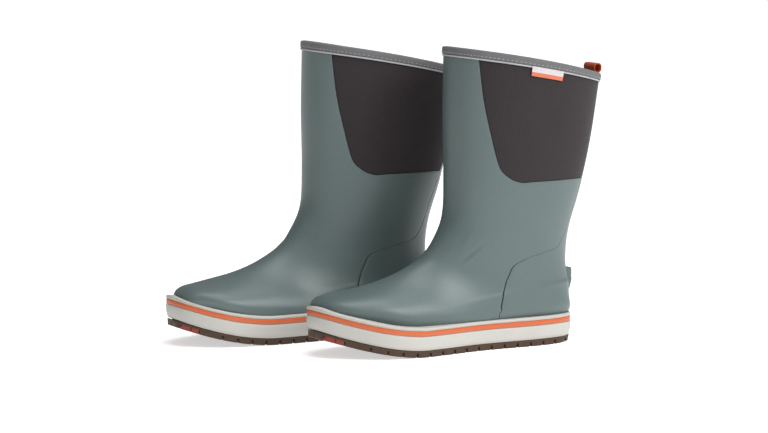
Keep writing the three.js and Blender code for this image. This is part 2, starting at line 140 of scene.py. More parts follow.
def off_skin(down, turn, distance):
    """The same points moved straight out of the skin."""
    down = np.minimum(down, TOE - 0.03)
    along = skin(down + 0.02, turn) - skin(down - 0.02, turn)
    round_ = skin(down, turn + 1.0) - skin(down, turn - 1.0)
    normal = np.cross(along, round_)
    normal /= np.linalg.norm(normal, axis=-1, keepdims=True)
    return skin(down, turn) + normal * np.asarray(distance)[..., None]


# ---- Lines on the skin, as (degrees round from the front, rings down) ----
def smooth_line(points, steps=24):
    p = np.array(points, float)
    p = np.vstack([2 * p[0] - p[1], p, 2 * p[-1] - p[-2]])
    f = np.linspace(0, 1, steps, endpoint=False)[:, None]
    pieces = [between(*p[i:i + 4], f) for i in range(len(p) - 3)]
    return np.vstack([*pieces, p[-2:-1]])


def seam(*points):
    """A smooth line over the skin, as a function from 0..1 to points evenly spaced along it."""
    dense = smooth_line(points)
    run = np.r_[0, np.cumsum(np.hypot(np.diff(dense[:, 0]) * 0.85, np.diff(dense[:, 1]) * 55))]
    return lambda s: np.stack([np.interp(s, run / run[-1], dense[:, k]) for k in (0, 1)], -1)


CORNER = (63.5, 1.885)  # the rounded low front corner of the stretch panel
STRIP_FOOT = (146.0, 1.8)
ARCH = 7.2  # the ring where the instep gives way to the toe
SEAM_FOOT = (120.0, 7.1)  # where the seam of the heel piece goes under the sole
gore_front = seam((35, 0.03), (35.5, 0.1), (40.5, 0.6), (44.5, 0.9), (49, 1.2), (55, 1.6), (59, 1.79), CORNER)
gore_foot = seam(CORNER, (70, 1.965), (78, 2), (88, 1.96), (105, 1.9), (127, 1.83), STRIP_FOOT)
strip_upper = seam((154.5, 0.03), (154.5, 0.9), (152.5, 1.4), STRIP_FOOT)
strip_lower = seam(STRIP_FOOT, (142.5, 2.1), (141, 2.4), (140, 2.7), (137.5, 3.1), (132, 3.4), (126.5, 3.6),
                   (119, 3.72), (106.5, 3.9), (92.2, 4.155), (81.5, 4.51), (77.3, 5.11), (75.6, 5.5),
                   (75.8, 5.89), (79.3, 6.22), (85.7, 6.53), (95.4, 6.77), (108.7, 6.95), SEAM_FOOT)
front_top = seam((0, 0.03), (17, 0.03), (35, 0.03))
gore_top = seam((35, 0.03), (90, 0.03), (154.5, 0.03))
front_middle = seam((0, 1.66), (30, 1.71), CORNER)
front_upper = seam((0, 0.03), (0, 0.8), (0, 1.66))
front_lower = seam((0, 1.66), (0, 4), (0, ARCH))
side_lower = seam(CORNER, (58, 2.6), (50, 3.6), (40, 4.6), (36, 5.6), (36, ARCH))
vamp_front = seam((0, ARCH), (18, ARCH), (36, ARCH))
vamp_side = seam((36, ARCH), (56, ARCH), (77, ARCH + 0.05), (105, ARCH), SEAM_FOOT)
toe_middle = seam((0, ARCH), (0, 10), (0, TOE - 0.05))
toe_ridge = seam((36, ARCH), (38, 10), (40, TOE - 0.05))
toe_edge = seam(SEAM_FOOT, (121.5, 7.6), (123, 8.5), (124, 10), (124, TOE - 0.05))
toe_tip_front = seam((0, TOE - 0.05), (20, TOE - 0.05), (40, TOE - 0.05))
toe_tip_side = seam((40, TOE - 0.05), (80, TOE - 0.05), (124, TOE - 0.05))


def stretched(top, bottom, left, right, across, down):
    """A net of points whose four edges follow four lines, each given from left to right or top to bottom."""
    u, v = across[None, :, None], down[:, None, None]
    t, b, l, r = top(across)[None], bottom(across)[None], left(down)[:, None], right(down)[:, None]
    corners = ((1 - u) * (1 - v) * top(0.0) + u * (1 - v) * top(1.0)
               + (1 - u) * v * bottom(0.0) + u * v * bottom(1.0))
    return (1 - v) * t + v * b + (1 - u) * l + u * r - corners


# ---- Making meshes ----
def net(bm, points, marks=None):
    """Adds a sheet of faces through a table of points. marks are its UV coordinates in millimetres."""
    rows, columns = points.shape[:2]
    made = bmesh.ops.create_grid(bm, x_segments=columns - 1, y_segments=rows - 1, size=0.5)["verts"]
    for vert, point in zip(made, points.reshape(-1, 3)):
        vert.co = point
    uv = bm.loops.layers.uv.verify()
    if marks is None:
        marks = np.stack(np.meshgrid(np.arange(columns), np.arange(rows)), -1)
    first = {vert: k for k, vert in enumerate(made)}
    flat = marks.reshape(-1, 2)
    for face in {face for vert in made for face in vert.link_faces}:
        for loop in face.loops:
            loop[uv].uv = flat[first[loop.vert]]
    return made


def skin_net(bm, table, offset, relief=None, mirror=False):
    """Adds a patch of skin through a table of (turn, down), facing outwards."""
    turn, down = table[..., 0], table[..., 1]
    turn = -turn if mirror else turn
    lift = offset + (relief(skin(down, turn)) if relief else 0)
    points = off_skin(down, turn, lift * np.ones_like(turn))
    marks = np.stack([np.radians(turn) * 46, -points[..., 2] + points[..., 1] * 0.3], -1)
    faces_before = len(bm.faces)
    made = net(bm, points, marks)
    bm.faces.ensure_lookup_table()
    bm.verts.ensure_lookup_table()
    outward = off_skin(down, turn, (lift + 1) * np.ones_like(turn)) - points
    middle = (outward.shape[0] // 2, outward.shape[1] // 2)
    probe = made[middle[0] * outward.shape[1] + middle[1]].link_faces[0]
    probe.normal_update()
    if probe.normal.dot(Vector(outward[middle])) < 0:
        bmesh.ops.reverse_faces(bm, faces=bm.faces[faces_before:])


def closed_net(bm, points, marks=None):
    """A tube or ring: the table's columns join up, and its rows too where first and last are alike."""
    net(bm, points, marks)
    bmesh.ops.remove_doubles(bm, verts=bm.verts, dist=0.004)
    open_edges = [edge for edge in bm.edges if edge.is_boundary]
    if open_edges:
        bmesh.ops.holes_fill(bm, edges=open_edges, sides=0)
    bmesh.ops.recalc_face_normals(bm, faces=bm.faces)


def block(bm, cuts, shape):
    """Adds a closed block: a cube cut up evenly, whose points (each -1 to 1) are moved by shape."""
    part = bmesh.new()
    bmesh.ops.create_cube(part, size=2)
    bmesh.ops.subdivide_edges(part, edges=part.edges[:], cuts=cuts, use_grid_fill=True)
    for vert, place in zip(part.verts, shape(np.array([v.co for v in part.verts]))):
        vert.co = place
    bmesh.ops.recalc_face_normals(part, faces=part.faces)
    mesh = bpy.data.meshes.new("block")
    part.to_mesh(mesh)
    part.free()
    bm.from_mesh(mesh)
    bpy.data.meshes.remove(mesh)


class BootPlace:
    """Where each boot stands in the row frame."""

    def __init__(self, side):
        low_corner, high_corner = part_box("left_pull_loop")
        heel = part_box("left_foxing_wall")[1].y * 1000 + 1.8
        middle = Matrix.Translation(((low_corner.x + high_corner.x) / 2, heel / 1000, 0))
        self.mirrored = side == "right"
        own = Matrix.Identity(4)
        if self.mirrored:
            own = Matrix.Translation((*RIGHT_SHIFT, 0)) @ Matrix.Rotation(RIGHT_YAW, 4, "Z")
            own = own @ Matrix.Diagonal((-1, 1, 1, 1))
        self.matrix = middle @ Matrix.Scale(0.001, 4) @ own

    def point(self, x, y, z):
        return self.matrix @ Vector((x, y, z))


def finish_piece(bm, side, name, material, nodes, body="boot", wall=0.0, edge=0.0, angle=40,
                 smooth=180):
    """Puts a finished mesh in the row frame as a named piece that stands for the given CAD nodes."""
    place = BootPlace(side)
    bmesh.ops.transform(bm, matrix=place.matrix, verts=bm.verts)
    if place.mirrored:
        bmesh.ops.reverse_faces(bm, faces=bm.faces)
    mesh = bpy.data.meshes.new(f"{side}_{name}")
    bm.to_mesh(mesh)
    bm.free()
    mesh.shade_smooth()
    if smooth < 180:
        mesh.set_sharp_from_angle(angle=math.radians(smooth))
    piece = bpy.data.objects.new(f"{side}_{name}", mesh)
    bpy.context.scene.collection.objects.link(piece)
    mesh.materials.append(material)
    if wall:
        shell = piece.modifiers.new("wall", "SOLIDIFY")
        shell.thickness = wall / 1000
        shell.offset = -1
        shell.use_even_offset = True
    if edge:
        rounding = piece.modifiers.new("rounded edges", "BEVEL")
        rounding.width = edge / 1000
        rounding.segments = 2
        rounding.limit_method = "ANGLE"
        rounding.angle_limit = math.radians(angle)
        rounding.use_clamp_overlap = True
        rounding.harden_normals = False
    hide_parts(*(f"{side}_{node}" for node in nodes))
    if body:
        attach(piece, f"{side}_{body}")
    return piece


# ---- Materials ----
class Wire:
    """A number on a material's wiring that can be used in ordinary arithmetic."""

    def __init__(self, paint, socket):
        self.paint = paint
        self.socket = socket

    def maths(self, operation, first, second=None):
        values = [first] if second is None else [first, second]
        return self.paint.node("ShaderNodeMath", {"operation": operation}, dict(enumerate(values)))

    def __add__(self, other):
        return self.maths("ADD", self, other)

    def __mul__(self, other):
        return self.maths("MULTIPLY", self, other)

    def __sub__(self, other):
        return self.maths("SUBTRACT", self, other)

    def __rsub__(self, other):
        return self.maths("SUBTRACT", other, self)

    def __pow__(self, other):
        return self.maths("POWER", self, other)

    def __lt__(self, other):
        return self.maths("LESS_THAN", self, other)

    def __gt__(self, other):
        return self.maths("GREATER_THAN", self, other)

    __radd__ = __add__
    __rmul__ = __mul__

    def wave(self, length):
        """A smooth wave from 0 to 1 of that length."""
        return self.maths("SINE", self * (2 * math.pi / length)) * 0.5 + 0.5

    def inside(self, low_value=0.0, high_value=1.0):
        return self.maths("MINIMUM", self.maths("MAXIMUM", self, low_value), high_value)


class Paint:
    """One material, wired up node by node."""

    def __init__(self, name, roughness, specular=0.5, **constants):
        self.material = bpy.data.materials.new(name)
        self.material.use_nodes = True
        self.tree = self.material.node_tree
        self.shader = self.tree.nodes["Principled BSDF"]
        self.shader.inputs["Roughness"].default_value = roughness
        self.shader.inputs["Specular IOR Level"].default_value = specular
        for socket, value in constants.items():
            self.shader.inputs[socket.replace("_", " ")].default_value = value

    def put(self, target, value):
        if isinstance(value, Wire):
            self.tree.links.new(value.socket, target)
        elif hasattr(value, "__len__") and target.type == "RGBA" and len(value) == 3:
            target.default_value = (*value, 1)
        else:
            target.default_value = value

    def node(self, kind, settings=None, values=None, output=0):
        made = self.tree.nodes.new(kind)
        for key, value in (settings or {}).items():
            setattr(made, key, value)
        for key, value in (values or {}).items():
            self.put(made.inputs[key], value)
        return Wire(self, made.outputs[output])

    def place(self):
        return self.node("ShaderNodeTexCoord", output="Object")

    def cloth(self):
        """The piece's own coordinates in millimetres: round it, and along it."""
        split = self.tree.nodes.new("ShaderNodeSeparateXYZ")
        uv = self.node("ShaderNodeTexCoord", output="UV")
        self.tree.links.new(uv.socket, split.inputs[0])
        return Wire(self, split.outputs[0]), Wire(self, split.outputs[1])

    def noise(self, size, detail=2.0, at=None):
        """Soft mottling with patches of about that size in metres, from 0 to 1."""
        values = {"Vector": at or self.place(), "Scale": 1 / size, "Detail": detail}
        return self.node("ShaderNodeTexNoise", {}, values)

    def blend(self, share, first, second):
        made = self.tree.nodes.new("ShaderNodeMix")
        made.data_type = "RGBA"
        self.put(made.inputs[0], share)
        self.put(made.inputs[6], first)
        self.put(made.inputs[7], second)
        return Wire(self, made.outputs[2])

    def relief(self, height, depth, strength=1.0, under=None):
        """Bumps of that depth in metres."""
        values = {"Height": height, "Distance": depth, "Strength": strength}
        if under:
            values["Normal"] = under
        return self.node("ShaderNodeBump", {}, values)

    def done(self, colour, roughness=None, normal=None):
        self.put(self.shader.inputs["Base Color"], colour)
        if roughness is not None:
            self.put(self.shader.inputs["Roughness"], roughness)
        if normal is not None:
            self.put(self.shader.inputs["Normal"], normal)
        return self.material


def tone(colour, amount):
    return [min(1.0, channel * amount) for channel in colour]


def moulded_rubber(name, colour, roughness=0.4, marks=0.06):
    """Satin rubber with faint clouding, a fine skin and a slightly uneven wall."""
    p = Paint(name, roughness, 0.4)
    clouds = p.noise(0.045, 3)
    speck = p.noise(0.0016, 2)
    shade = p.blend(clouds, tone(colour, 1 - marks), tone(colour, 1 + marks))
    shade = p.blend((speck - 0.5).inside(0, 0.12), shade, tone(colour, 1.5))
    bumps = p.relief(p.noise(0.03, 1), 0.0006, 0.35)
    bumps = p.relief(speck, 0.00004, 0.6, bumps)
    return p.done(shade, clouds * 0.12 + (roughness - 0.06), bumps)


def stretch_knit(name, colour):
    """Foam-backed jersey: fine columns of stitches."""
    p = Paint(name, 0.88, 0.2, Sheen_Weight=0.08, Sheen_Roughness=0.5)
    round_, along = p.cloth()
    stitch = round_.wave(1.1) * (along + round_.wave(1.1) * 0.5).wave(0.9)
    clouds = p.noise(0.03, 3)
    shade = p.blend(clouds, tone(colour, 0.92), tone(colour, 1.1))
    shade = p.blend(stitch * 0.35, shade, tone(colour, 1.5))
    return p.done(shade, 0.88 - stitch * 0.08, p.relief(stitch, 0.00012, 0.8))


def woven_tape(name, colour, pitch=0.9, contrast=0.25):
    """Woven tape with a diagonal rib."""
    p = Paint(name, 0.85, 0.25, Sheen_Weight=0.08)
    round_, along = p.cloth()
    rib = (round_ + along * 0.8).wave(pitch)
    thread = rib * (round_ - along).wave(pitch * 0.6)
    clouds = p.noise(0.012, 3)
    shade = p.blend(clouds, tone(colour, 0.9), tone(colour, 1.1))
    shade = p.blend(thread * contrast, shade, tone(colour, 1.45))
    return p.done(shade, 0.85 - thread * 0.08, p.relief(rib + thread * 0.5, 0.00016, 0.8))


def ribbed_webbing(name, colour):
    """Dense webbing: ribs across the strap and thread lines along it."""
    p = Paint(name, 0.75, 0.25, Sheen_Weight=0.05)
    across, along = p.cloth()
    weave = across.wave(1.3) * (along + across.wave(2.6) * 0.6).wave(1.2)
    shade = p.blend(p.noise(0.004, 3), tone(colour, 0.78), tone(colour, 1.12))
    shade = p.blend(weave * 0.4, shade, tone(colour, 1.5))
    return p.done(shade, 0.75 - weave * 0.1, p.relief(weave, 0.00025, 0.9))


def knit_lining(name, colour):
    """Grey looped knit inside the boot."""
    p = Paint(name, 0.95, 0.2, Sheen_Weight=0.35)
    round_, along = p.cloth()
    loops = round_.wave(2.2) * (along + round_.wave(2.2)).wave(1.8)
    shade = p.blend(p.noise(0.02, 4), tone(colour, 0.8), tone(colour, 1.12))
    shade = p.blend(loops * 0.4, shade, tone(colour, 1.6))
    return p.done(shade, None, p.relief(loops, 0.0003, 0.9))


def insole_cloth(name, colour):
    p = Paint(name, 0.92, 0.2, Sheen_Weight=0.2)
    fibres = p.noise(0.0012, 4)
    shade = p.blend(fibres, tone(colour, 0.7), tone(colour, 1.25))
    return p.done(shade, None, p.relief(fibres, 0.0002, 0.8))


def sole_wall_rubber(name, colour, roughness=0.55):
    """Matt pale rubber, a little grimy towards its foot."""
    p = Paint(name, roughness, 0.4)
    up = p.cloth()[1]
    clouds = p.noise(0.02, 4)
    grime = ((3.5 - up) * 0.3).inside() * (clouds * 1.2)
    shade = p.blend(clouds, tone(colour, 0.95), tone(colour, 1.03))
    shade = p.blend(grime * 0.5, shade, (0.28, 0.22, 0.16))
    speck = p.noise(0.0011, 2)
    return p.done(shade, clouds * 0.15 + (roughness - 0.07), p.relief(speck, 0.00005, 0.6))


def tread_rubber(name, colour):
    """Dark gum rubber: dust on the ground faces and a fine bumpy grain."""
    p = Paint(name, 0.62, 0.35)
    dust = p.noise(0.006, 4)
    shade = p.blend(dust, tone(colour, 0.6), tone(colour, 1.35))
    return p.done(shade, dust * 0.2 + 0.5, p.relief(p.noise(0.0014, 3), 0.0001, 0.8))


def woven_label(name, pale, bright):
    """A small woven label: pale above, bright at its lower edge, with no lettering."""
    p = Paint(name, 0.7, 0.35)
    along, down = p.cloth()
    lower = ((down - 5.3) * 4).inside()
    thread = along.wave(0.5) * down.wave(0.55)
    band = ((down - 2.2) * 5).inside() * ((3.6 - down) * 5).inside()
    flecks = band * (along.wave(1.7) > 0.55) * (along.wave(9.3) > 0.25)
    shade = p.blend(lower, p.blend(flecks * 0.35, pale, (0.2, 0.22, 0.3)), bright)
    shade = p.blend(thread * 0.25, shade, (1.0, 0.95, 0.9))
    return p.done(shade, None, p.relief(thread, 0.00008, 0.8))


def plain_fill(name, colour, grain=0.003):
    """Board, foam and stiffener cloth inside the boot's wall."""
    p = Paint(name, 0.9, 0.2)
    pores = p.noise(grain, 4)
    return p.done(p.blend(pores, tone(colour, 0.75), tone(colour, 1.2)), None, p.relief(pores, 0.0003, 0.7))


MADE = {}


def finish_for(key):
    """The material of that name, made once and shared."""
    if key not in MADE:
        c = bpy.context.scene.boot_colours
        makers = {
            "rubber": lambda: moulded_rubber("boot rubber", c.rubber),
            "gore": lambda: stretch_knit("stretch knit", c.gore),
            "binding": lambda: woven_tape("collar tape", c.binding),
            "welt": lambda: woven_tape("collar cord", c.welt, 1.6, 0.35),
            "label": lambda: woven_label("collar label", c.label, c.stripe),
            "webbing": lambda: ribbed_webbing("loop webbing", c.webbing),
            "lining": lambda: knit_lining("lining knit", c.lining),
            "footbed": lambda: insole_cloth("footbed cloth", c.footbed),
            "foxing": lambda: sole_wall_rubber("sole wall rubber", c.foxing),
            "stripe": lambda: sole_wall_rubber("stripe rubber", c.stripe, 0.5),
            "outsole": lambda: tread_rubber("tread rubber", c.outsole),
            "inlay": lambda: tread_rubber("toe plug rubber", c.inlay),
            "board": lambda: plain_fill("insole board", (0.43, 0.32, 0.2)),
            "foam": lambda: plain_fill("midsole foam", (0.045, 0.047, 0.05), 0.0015),
            "reinforcement": lambda: plain_fill("stiffener cloth", (0.26, 0.23, 0.13), 0.001),
        }
        MADE[key] = makers[key]()
    return MADE[key]


# ---- The upper ----
FOLDS = (  # soft folds at the ankle: middle, direction, length, width, depth
    ((21, -140, 112), (0.25, 0.45, 0.85), 13, 3.2, 0.7),
    ((28, -131, 99), (0.2, 0.75, 0.6), 15, 3.5, 0.6),
    ((-22, -141, 108), (-0.25, 0.5, 0.8), 13, 3.4, 0.6),
    ((6, -160, 101), (1, 0.1, 0.05), 18, 4.0, 0.5),
)
RAND_LINE = ((-230, -163, -145, -115, -92, -69, -43, -15), (44, 49.2, 51.4, 54.5, 57.1, 60.8, 63, 64))


def rubber_relief(points):
    """How far the moulded rubber stands off its plain skin: the rand round the heel, the ankle's folds
    and the tuck behind the bead."""
    sizes = bpy.context.scene.boot_sizes
    y, z = points[..., 1], points[..., 2]
    line = np.interp(y, *RAND_LINE)
    strength = np.interp(y, (-200, -150, -115, -95, -30), (0, 0.35, 0.5, 1, 1))
    lift = sizes.rand_step * 1000 * strength / (1 + np.exp(-(line - z) / 0.55))
    ridge = 0.5 * strength * np.exp(-(((z - line) / 1.6) ** 2))
    for middle, direction, length, width, depth in FOLDS:
        arm = points - np.array(middle, float)
        way = np.array(direction, float) / np.linalg.norm(direction)
        run = arm @ way
        off = np.linalg.norm(arm - run[..., None] * way, axis=-1)
        side = off * np.sign(arm[..., 2] * way[1] - arm[..., 1] * way[2] + 1e-9)
        across = side / width
        lift = lift - depth * np.exp(-((run / length) ** 2)) * across * np.exp(0.5 - across**2)
    tuck = 1.5 * np.interp(y, (-285, -265), (0, 1)) * np.exp(-(((z - toe_spring(y) - 29) / 6) ** 2))
    return lift + ridge - tuck


def grades(count, start=0.0, end=1.0):
    return np.linspace(start, end, count + 1)


def make_upper(side):
    """The vamp, instep and front of the shaft in one moulding, and the heel piece with its back strip."""
    sizes = bpy.context.scene.boot_sizes
    bm = bmesh.new()
    shaft, foot, toe, centre, flank = 44, 64, 50, 16, 36
    for mirror in (False, True):
        for table in (
            stretched(front_top, front_middle, front_upper, gore_front, grades(centre), grades(shaft)),
            stretched(front_middle, vamp_front, front_lower, side_lower, grades(centre), grades(foot)),
            stretched(gore_foot, vamp_side, side_lower, strip_lower, grades(flank), grades(foot)),
            stretched(vamp_front, toe_tip_front, toe_middle, toe_ridge, grades(centre), grades(toe)),
            stretched(vamp_side, toe_tip_side, toe_ridge, toe_edge, grades(flank), grades(toe)),
        ):
            skin_net(bm, table, 0, rubber_relief, mirror)
    bmesh.ops.remove_doubles(bm, verts=bm.verts, dist=0.02)
    finish_piece(bm, side, "vamp_and_shaft", finish_for("rubber"), ["upper_front"],
                 wall=sizes.rubber_wall * 1000, edge=0.35, angle=50)

    bm = bmesh.new()
    gap = sizes.seam_gap * 1000
    steps, wide = grades(150), 64
    strip = np.vstack([strip_upper(grades(44)), strip_lower(grades(106))[1:]])
    back_line = skin(strip[:, 1], np.full(len(steps), 180.0))
    half = np.linalg.norm(skin(strip[:, 1], strip[:, 0]) - back_line, axis=1)
    edge = strip[:, 0] + (180 - strip[:, 0]) * np.minimum(0.2, gap / half)
    turn = edge[:, None] + (360 - 2 * edge[:, None]) * grades(wide)[None, :]
    down = np.broadcast_to(strip[:, 1:2], turn.shape)
    skin_net(bm, np.stack([turn, down], -1), 0, rubber_relief)
    finish_piece(bm, side, "heel_piece_and_back_strip", finish_for("rubber"), ["upper_back"],
                 wall=sizes.rubber_wall * 1000, edge=0.4, angle=50)


def make_stretch_panels(side):
    """The two stretch panels, set a little below the rubber."""
    step = bpy.context.scene.boot_sizes.panel_step * 1000
    both_panels = (("stretch_panel_outer", "gore_outer", False), ("stretch_panel_inner", "gore_inner", True))
    for name, node, mirror in both_panels:
        bm = bmesh.new()
        table = stretched(gore_top, gore_foot, gore_front, strip_upper,
                          grades(52, 0.004, 0.996), grades(60, 0, 0.997))
        skin_net(bm, table, -step, None, mirror)
        finish_piece(bm, side, name, finish_for("gore"), [node], wall=1.6, edge=0.25, angle=50)


def make_lining(side):
    """The knitted sock inside the boot, down to the toe."""
    bm = bmesh.new()
    rows_down = np.r_[np.linspace(0.04, 7, 100), np.linspace(7.1, 12.2, 56)]
    turn, down = np.meshgrid(np.linspace(0, 360, 97), rows_down)
    points = off_skin(down, turn, np.full(turn.shape, -3.6))
    marks = np.stack([np.radians(turn) * 42, down * 45], -1)
    net(bm, points, marks)
    bmesh.ops.remove_doubles(bm, verts=bm.verts, dist=0.004)
    toe_hole = [edge for edge in bm.edges if edge.is_boundary and edge.verts[0].co.y < -250]
    bmesh.ops.holes_fill(bm, edges=toe_hole, sides=0)
    bm.faces.ensure_lookup_table()
    bmesh.ops.recalc_face_normals(bm, faces=bm.faces)
    face = bm.faces[0]
    shaft_axis = Vector((0, -50, face.verts[0].co.z))
    if face.normal.dot(face.calc_center_median() - shaft_axis) < 0:
        bmesh.ops.reverse_faces(bm, faces=bm.faces)
    finish_piece(bm, side, "knit_lining", finish_for("lining"), ["lining"], wall=2.2)


# ---- The collar ----
RING_DROP = 67.0  # millimetres between the collar's first two rings


def collar_band(section, steps=180, ripple=0.0):
    """A closed band round the collar: its section is a list of (how far down, how far out)."""
    turn = np.linspace(0, 360, steps + 1)[:, None]
    down, out = np.array([*section, section[0]], float).T
    waver = ripple * (np.sin(np.radians(turn) * 31) * 0.6 + np.sin(np.radians(turn) * 53 + 1) * 0.4)
    outwards = np.sign(out)[None, :] * waver
    turns = np.broadcast_to(turn, (steps + 1, len(down)))
    points = off_skin(np.broadcast_to(down / RING_DROP, turns.shape), turns, out[None, :] + outwards)
    run = np.r_[0, np.cumsum(np.hypot(np.diff(down), np.diff(out)))]
    marks = np.stack([np.radians(turns) * 57, np.broadcast_to(run, turns.shape)], -1)
    return points, marks


def make_collar(side):
    """The tape folded over the collar with its stitches, the cord below it and the plain label."""
    sizes = bpy.context.scene.boot_sizes
    drop = sizes.tape_height * 1000
    outside, inside, crown = 1.35, -7.35, 1.5

    def arc(middle, radius, start, end):
        angles = [math.radians(v) for v in np.linspace(start, end, 7)]
        return [(crown - crown * math.sin(v), middle + radius * math.cos(v)) for v in angles]

    section = [(drop, 0.35), (drop + 0.1, 0.8), (drop - 0.1, outside), (drop * 0.6, outside + 0.15),
               (drop * 0.3, outside + 0.1), *arc(outside - 1.6, 1.6, 0, 90), (-0.1, -1.5), (-0.2, -3),
               (-0.1, -4.5), *arc(inside + 1.6, 1.6, 90, 180), (drop * 0.4, inside - 0.1),
               (drop - 0.1, inside), (drop, inside + 0.9), (1.9, inside + 1.0), (1.9, 0.35)]
    bm = bmesh.new()
    closed_net(bm, *collar_band(section, ripple=0.14))
    finish_piece(bm, side, "collar_tape", finish_for("binding"), ["collar_binding"], smooth=60)

    bm = bmesh.new()
    count = 112
    for turn in np.arange(count) * 360 / count:
        centre, ahead = off_skin(np.full(2, (drop - 1.7) / RING_DROP), np.array([turn, turn + 1.0]),
                                 np.full(2, outside + 0.1))
        up = off_skin(0.0, turn, outside) - off_skin(0.1, turn, outside)
        run = Vector(ahead - centre).normalized()
        rise = Vector(up).normalized()
        frame_ = Matrix((run, rise, run.cross(rise))).transposed().to_4x4()
        turned = Matrix.Translation(centre) @ frame_ @ Matrix.Rotation(math.radians(12), 4, "Z")
        stitch = turned @ Matrix.Diagonal((1.15, 0.3, 0.28, 1))
        bmesh.ops.create_uvsphere(bm, u_segments=8, v_segments=5, radius=1, matrix=stitch)
    finish_piece(bm, side, "collar_stitches", finish_for("welt"), [])

    bm = bmesh.new()
    cord = [(drop + 1.2 + 0.85 * math.cos(a), 0.7 + 0.75 * math.sin(a))
            for a in np.radians(np.arange(0, 360, 30))]
    closed_net(bm, *collar_band(cord))
    finish_piece(bm, side, "collar_cord", finish_for("welt"), ["collar_welt"])

    bm = bmesh.new()
    half = math.degrees(0.037 * 1000 / (skin(0.2, 180.0)[1] - skin(0.2, 0.0)[1]))
    share = np.linspace(-1, 1, 37)[:, None]
    length = np.linspace(0, 1, 13)
    front = [(drop + 0.5 + 9.4 * s, 1.75 - 0.75 * s**0.7) for s in length]
    back = [(down, out - 0.65) for down, out in reversed(front)]
    down, out = np.array([*front, *back, front[0]]).T
    curl = 0.35 * share**6
    turns = np.broadcast_to(88 + half * share, (37, len(down)))
    points = off_skin(np.broadcast_to(down / RING_DROP, turns.shape), turns, out[None, :] + curl)
    marks = np.stack(np.broadcast_arrays(share * 18.5, (down - drop - 0.5)[None, :]), -1)
    closed_net(bm, points, marks)
    finish_piece(bm, side, "woven_label", finish_for("label"), ["collar_label"],
                 edge=0.15, angle=60, smooth=50)


def make_pull_loop(side):
    """Webbing folded into a finger loop, its sewn foot on the collar."""
    half = bpy.context.scene.boot_sizes.loop_width * 500
    anchor = off_skin(0.0, 180.0, 0.0)
    leg = [(-0.75, -0.6), (-0.8, 1.0), (-2.3, 2.3), (-3.7, 4.0), (-3.95, 6.2), (-3.8, 8.8),
           (-2.3, 10.6), (0, 10.9)]
    path = smooth_line([*leg, *((-y, z) for y, z in reversed(leg[:-1]))], 6)
    run = np.r_[0, np.cumsum(np.hypot(*np.diff(path, axis=0).T))]
    tangent = np.gradient(path, axis=0)
    tangent /= np.linalg.norm(tangent, axis=1, keepdims=True)
    normal = np.stack([-tangent[:, 1], tangent[:, 0]], -1)
    thick, round_ = 0.62, 0.3
    across = np.linspace(-half + round_, half - round_, 11)
    section = [(-half, -thick + round_), (-half, thick - round_), *((x, thick) for x in across),
               (half, thick - round_), (half, -thick + round_), *((x, -thick) for x in across[::-1])]
    x, out = np.array([*section, section[0]]).T
    y = anchor[1] + path[:, :1] + normal[:, :1] * out
    z = anchor[2] + path[:, 1:] + normal[:, 1:] * out
    points = np.stack([np.broadcast_to(x, y.shape), y, z], -1)
    marks = np.stack(np.broadcast_arrays(x[None, :], run[:, None]), -1)
    bm = bmesh.new()
    closed_net(bm, points, marks)
    piece = finish_piece(bm, side, "finger_loop", finish_for("webbing"), ["pull_loop"],
                         body=None, smooth=50)
    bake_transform(piece)


# ---- The sole ----
def smooth_edge(points, steps=40):
    p = np.array(points, float)
    p = np.vstack([p[:1], p, p[-1:]])
    f = np.linspace(0, 1, steps, endpoint=False)[:, None]
    return np.vstack([*(between(*p[i:i + 4], f) for i in range(len(p) - 3)), p[-1:]])


OUTER_EDGE = smooth_edge([(0, 0), (29.5, -11.1), (41, -50), (42, -120), (51, -175), (55, -212),
                          (46, -252), (14, -294), (-10, -300)])
INNER_EDGE = smooth_edge([(0, 0), (-29.5, -11.1), (-41, -50), (-45.5, -120), (-53, -185),
                          (-54.7, -220), (-52.5, -255), (-33.5, -290.4), (-10, -300)])


def sole_line(count=300):
    """The sole's outline in plan, evenly spaced and rounded at heel and toe, with its outward normals."""
    line = np.vstack([OUTER_EDGE, INNER_EDGE[-2::-1]])
    run = np.r_[0, np.cumsum(np.hypot(*np.diff(line, axis=0).T))]
    even = np.linspace(0, run[-1], count, endpoint=False)
    line = np.stack([np.interp(even, run, line[:, k]) for k in (0, 1)], -1)
    for _ in range(14):
        line = line * 0.5 + (np.roll(line, 1, 0) + np.roll(line, -1, 0)) * 0.25
    tangent = np.roll(line, -1, 0) - np.roll(line, 1, 0)
    tangent /= np.linalg.norm(tangent, axis=1, keepdims=True)
    return line, np.stack([-tangent[:, 1], tangent[:, 0]], -1), even


def edge_at(y):
    """The sole's outer and inner edge (x) at a place along it."""
    line = sole_line()[0]
    tip = int(np.argmin(line[:, 1]))
    outer, inner = line[:tip + 1], line[tip:]
    return (np.interp(-np.asarray(y), -outer[:, 1], outer[:, 0]),
            np.interp(-np.asarray(y), -inner[::-1, 1], inner[::-1, 0]))


def skin_tree():
    """The upper's outside as something a ray can hit."""
    bm = bmesh.new()
    turn, down = np.meshgrid(np.linspace(0, 360, 145), np.linspace(3.4, TOE - 0.04, 150))
    net(bm, off_skin(down, turn, rubber_relief(skin(down, turn))))
    tree = BVHTree.FromBMesh(bm)
    bm.free()
    return tree


